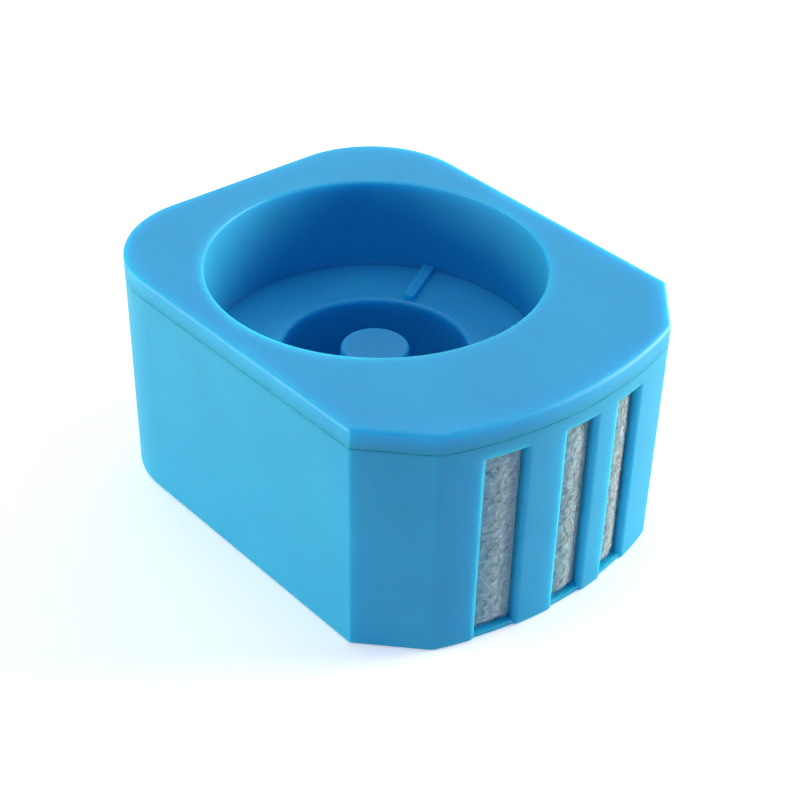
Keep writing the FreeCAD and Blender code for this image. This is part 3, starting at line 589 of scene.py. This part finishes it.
def make_bed_core():
    """Packed mass under the loose top beads.

    A profile is turned about the axis and stretched to the bed's outline at each angle: crater
    floor, crater wall, level top, outer side and bottom. It lies a bead's radius and a little
    more inside the bed's surface, and wavers up and down except at the bottom.
    """
    around = 360
    turn = np.linspace(-math.pi, math.pi, around, endpoint=False) + 1e-4   # off the corners
    inset = BEAD_RADIUS * 1.1
    outer = reach_at(turn) - inset
    crater = crater_radius + inset
    bottom = bed_floor + 0.05 * MM
    levels = []
    for share in (0.02, 0.35, 0.7, 1.0):
        levels.append((share * crater * np.ones(around), crater_floor - inset))
    for share in (0.33, 0.66, 1.0):
        levels.append((crater * np.ones(around), crater_floor - inset
                       + share * (bed_top - crater_floor)))
    for share in (0.5, 1.0):
        levels.append((crater + share * (outer - crater), bed_top - inset))
    for share in (0.5, 1.0):
        levels.append((outer, (bed_top - inset) * (1 - share) + bottom * share))
    for share in (0.5, 0.02):
        levels.append((share * outer, bottom))
    r = np.stack([radius for radius, _ in levels])
    z = np.array([height for _, height in levels])[:, None].repeat(around, 1)
    waver = 0.2 * MM * (lumps(r * turn[None, :], z + r, 1.2 * MM, SEED + 50) - 0.5)
    waver[-3:] = 0
    points = np.stack([r * np.cos(turn), r * np.sin(turn), z + waver], -1).reshape(-1, 3)
    points = np.concatenate([points, [[0, 0, crater_floor - inset], [0, 0, bottom]]])
    # The core's darker amber is painted shade in the gaps between the buried beads.
    return make_piece("resin_bed_core", points, turned_faces(len(levels), around), resin_painted_shade)


def ball():
    """Small ball of eighty triangles.

    The twenty sides of an icosahedron are split in four and pushed out to the unit sphere.
    """
    g = (1 + 5 ** 0.5) / 2
    corners = np.array([(-1, g, 0), (1, g, 0), (-1, -g, 0), (1, -g, 0), (0, -1, g), (0, 1, g),
                        (0, -1, -g), (0, 1, -g), (g, 0, -1), (g, 0, 1), (-g, 0, -1), (-g, 0, 1)])
    sides = np.array([(0, 11, 5), (0, 5, 1), (0, 1, 7), (0, 7, 10), (0, 10, 11), (1, 5, 9),
                      (5, 11, 4), (11, 10, 2), (10, 7, 6), (7, 1, 8), (3, 9, 4), (3, 4, 2),
                      (3, 2, 6), (3, 6, 8), (3, 8, 9), (4, 9, 5), (2, 4, 11), (6, 2, 10),
                      (8, 6, 7), (9, 8, 1)])
    a, b, c = (corners[sides[:, k]] for k in range(3))
    ab, bc, ca = (a + b) / 2, (b + c) / 2, (c + a) / 2
    quarters = ((a, ab, ca), (b, bc, ab), (c, ca, bc), (ab, bc, ca))
    small = np.concatenate([np.stack(quarter, 1) for quarter in quarters])
    points, index = np.unique(np.round(small.reshape(-1, 3), 6), axis=0, return_inverse=True)
    points /= np.linalg.norm(points, axis=1, keepdims=True)
    return points, index.reshape(-1, 3)


def make_beads(name, centres, seed):
    """One small ball at each centre, each a little larger or smaller."""
    draw = np.random.default_rng(seed)
    shape, sides = ball()
    size = BEAD_RADIUS * draw.uniform(0.82, 1.0, (len(centres), 1, 1))
    points = (centres[:, None, :] + shape[None] * size).reshape(-1, 3)
    offset = (np.arange(len(centres)) * len(shape))[:, None, None]
    return make_piece(name, points, (sides[None] + offset).reshape(-1, 3), resin)


def top_centres():
    """Beads over the level top: a jostled triangular lattice, kept where a whole bead fits."""
    draw = np.random.default_rng(SEED + 60)
    span = 50 * MM      # the lattice reaches past the bed on every side
    jostle = 0.20 * MM
    rows = int(2 * span / ROW_PITCH)
    columns = int(2 * span / BEAD_PITCH)
    i, j = np.meshgrid(np.arange(rows), np.arange(columns), indexing="ij")
    x = (-span + (j + 0.5 * (i % 2)) * BEAD_PITCH).ravel()
    y = (-span + i * ROW_PITCH).ravel()
    x = x + draw.normal(0, jostle, x.shape)
    y = y + draw.normal(0, jostle, y.shape)
    reach = np.hypot(x, y)
    edge = reach_at(np.arctan2(y, x))
    keep = (reach > crater_radius + BEAD_RADIUS) & (reach < edge - BEAD_RADIUS * 1.15)
    x, y = x[keep], y[keep]
    z = bed_top - BEAD_RADIUS - draw.uniform(0, BEAD_DROP, x.shape)
    return np.stack([x, y, z], -1)


def crater_centres():
    """Beads on the hollow's wall, in staggered rings, and on its floor, in rings about the axis."""
    draw = np.random.default_rng(SEED + 70)
    wall_jostle, floor_jostle = 0.24 * MM, 0.22 * MM
    ring_pitch = BEAD_PITCH * 0.9
    found = []
    wall_radius = crater_radius + BEAD_RADIUS
    around = int(2 * math.pi * wall_radius / BEAD_PITCH)
    rings = int((bed_top - crater_floor) / ROW_PITCH)
    i, j = np.meshgrid(np.arange(rings), np.arange(around), indexing="ij")
    turn = (2 * math.pi * (j + 0.5 * (i % 2)) / around).ravel()
    z = (crater_floor + BEAD_RADIUS * 0.4 + i * ROW_PITCH).ravel()
    turn = turn + draw.normal(0, wall_jostle, turn.shape) / wall_radius
    z = z + draw.normal(0, wall_jostle, z.shape)
    r = wall_radius + draw.uniform(0, BEAD_DROP, turn.shape)
    keep = z < bed_top - 2.0 * BEAD_RADIUS
    found.append(np.stack([r * np.cos(turn), r * np.sin(turn), z], -1)[keep])
    for ring in range(int(wall_radius / ring_pitch) + 1):
        radius = ring * ring_pitch
        number = max(int(2 * math.pi * radius / BEAD_PITCH), 1)
        turn = 2 * math.pi * (np.arange(number) + draw.random()) / number
        x = radius * np.cos(turn) + draw.normal(0, floor_jostle, number)
        y = radius * np.sin(turn) + draw.normal(0, floor_jostle, number)
        z = crater_floor - BEAD_RADIUS - draw.uniform(0, BEAD_DROP, number)
        found.append(np.stack([x, y, z], -1))
    return np.concatenate(found)


core = make_bed_core()
top_beads = make_beads("resin_top_beads", top_centres(), SEED + 80)
crater_beads = make_beads("resin_crater_beads", crater_centres(), SEED + 90)
for piece in (core, top_beads, crater_beads):
    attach(piece, "shell")
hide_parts("resin_bed")


# ---------------------------------------------------------------- floor, light and camera

def make_floor():
    """Wide flat board, a hair below the cartridge's base."""
    half, ticks = 2.5, 9
    line = np.linspace(-half, half, ticks)
    x, y = np.meshgrid(line, line)
    z = np.full_like(x, cad_box[0][2] - 0.05 * MM)
    return make_piece("floor", np.stack([x, y, z], -1).reshape(-1, 3), grid_faces(ticks, ticks),
                      painted_floor("white_painted_board", "fbfbfb", "d0d0d0"))


make_floor()


lamp_aim = Vector(((cad_box[0][0] + cad_box[1][0]) / 2, (cad_box[0][1] + cad_box[1][1]) / 2,
                   20 * MM))


def add_softbox(name, place, wide, tall, watts, colour):
    """Rectangular studio lamp with a diffuser, pointed at the cartridge's middle."""
    lamp = bpy.data.lights.new(name, "AREA")
    lamp.shape = "RECTANGLE"
    lamp.size, lamp.size_y = wide, tall
    lamp.energy = watts
    lamp.color = linear(colour)[:3]
    holder = bpy.data.objects.new(name, lamp)
    bpy.context.scene.collection.objects.link(holder)
    holder.location = place
    holder.rotation_euler = (lamp_aim - Vector(place)).to_track_quat("-Z", "Y").to_euler()


add_softbox("left_softbox", (-0.70, 0.40, 0.12), 0.6, 0.24, 6.7, "fff0c6")
add_softbox("right_softbox", (0.80, -0.36, 0.18), 0.5, 0.5, 17.2, "fff0d2")
add_softbox("back_softbox", (0.45, 0.55, 0.55), 0.9, 0.6, 2.0, "fff2da")
add_softbox("top_softbox", (-0.10, 0.20, 0.90), 0.7, 0.7, 2.8, "fff2da")

sky = bpy.data.worlds.new("studio_white")
sky.use_nodes = True
# The room's fill light is cool and dim, and the wall behind the floor shows as plain white
wall_seen = add(sky.node_tree, "ShaderNodeLightPath").outputs["Is Camera Ray"]
wall_tone = add(sky.node_tree, "ShaderNodeMix", {"data_type": "RGBA"}, _0=wall_seen,
                _6=linear("9cc6ff"), _7=linear("ffffff")).outputs[2]
wall_glow = add(sky.node_tree, "ShaderNodeMapRange", Value=wall_seen, To_Min=0.50, To_Max=1.0)
backdrop = sky.node_tree.nodes["Background"]
sky.node_tree.links.new(wall_tone, backdrop.inputs["Color"])
sky.node_tree.links.new(wall_glow.outputs["Result"], backdrop.inputs["Strength"])
bpy.context.scene.world = sky
bpy.context.scene.view_settings.view_transform = "Standard"

CAMERA_PLACE = (-157.058 * MM, -186.254 * MM, 180.305 * MM)
CAMERA_YAW, CAMERA_PITCH, CAMERA_ROLL = 0.717, 0.602, 0.024   # radians
CAMERA_LENS = 85.646                                          # millimetres, on a 36 mm sensor


def add_camera():
    """Camera that looks along its yaw and down by its pitch, then rolls about that line."""
    yaw, pitch, roll = CAMERA_YAW, CAMERA_PITCH, CAMERA_ROLL
    look = Vector((math.sin(yaw) * math.cos(pitch), math.cos(yaw) * math.cos(pitch),
                   -math.sin(pitch)))
    level = Vector((math.cos(yaw), -math.sin(yaw), 0))
    lift = level.cross(look)
    right = math.cos(roll) * level + math.sin(roll) * lift
    up = -math.sin(roll) * level + math.cos(roll) * lift
    data = bpy.data.cameras.new("camera")
    data.sensor_width = 36
    data.lens = CAMERA_LENS
    data.clip_start = 1 * MM
    holder = bpy.data.objects.new("camera", data)
    bpy.context.scene.collection.objects.link(holder)
    turned = Matrix((right, up, -look)).transposed()
    holder.matrix_world = Matrix.Translation(CAMERA_PLACE) @ turned.to_4x4()
    bpy.context.scene.camera = holder


add_camera()
